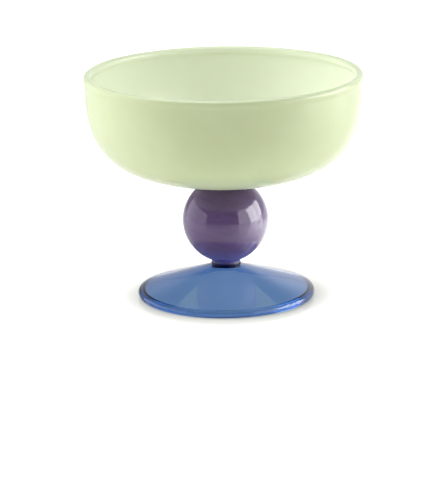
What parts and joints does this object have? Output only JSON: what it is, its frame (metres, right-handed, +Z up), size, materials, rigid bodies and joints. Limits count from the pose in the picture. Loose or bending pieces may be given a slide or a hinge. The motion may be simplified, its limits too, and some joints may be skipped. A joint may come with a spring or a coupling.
{
  "type": "footed dessert bowl",
  "caption": "Wide round glass bowl for desserts, joined by a glass ball stem to a flared hollow foot that stands on a flat ring.",
  "frame": {"origin": "middle of the flat ring that the foot stands on, on the table plane", "axes": "+Z up along the axis of revolution, from the foot to the mouth; X and Y are free, because the part is round"},
  "size_m": [0.0974, 0.0974, 0.0802],
  "materials": {
    "jade_opal_glass": "milky jade green opal glass, blown, fire-polished gloss",
    "purple_joint_glass": "purple glass melted into a wafer between ball and bowl",
    "purple_opal_glass": "dense purple opal glass, flame-worked ball, glossy",
    "navy_joint_glass": "purple and blue glass melted together, so dark that it reads as navy",
    "blue_clear_glass": "clear blue glass, blown and spun open, glossy"
  },
  "bodies": {
    "root": {"bowl": "jade_opal_glass", "bowl_joint_wafer": "purple_joint_glass", "ball_stem": "purple_opal_glass", "foot_joint_wafer": "navy_joint_glass", "foot": "blue_clear_glass"}
  },
  "joints": []
}
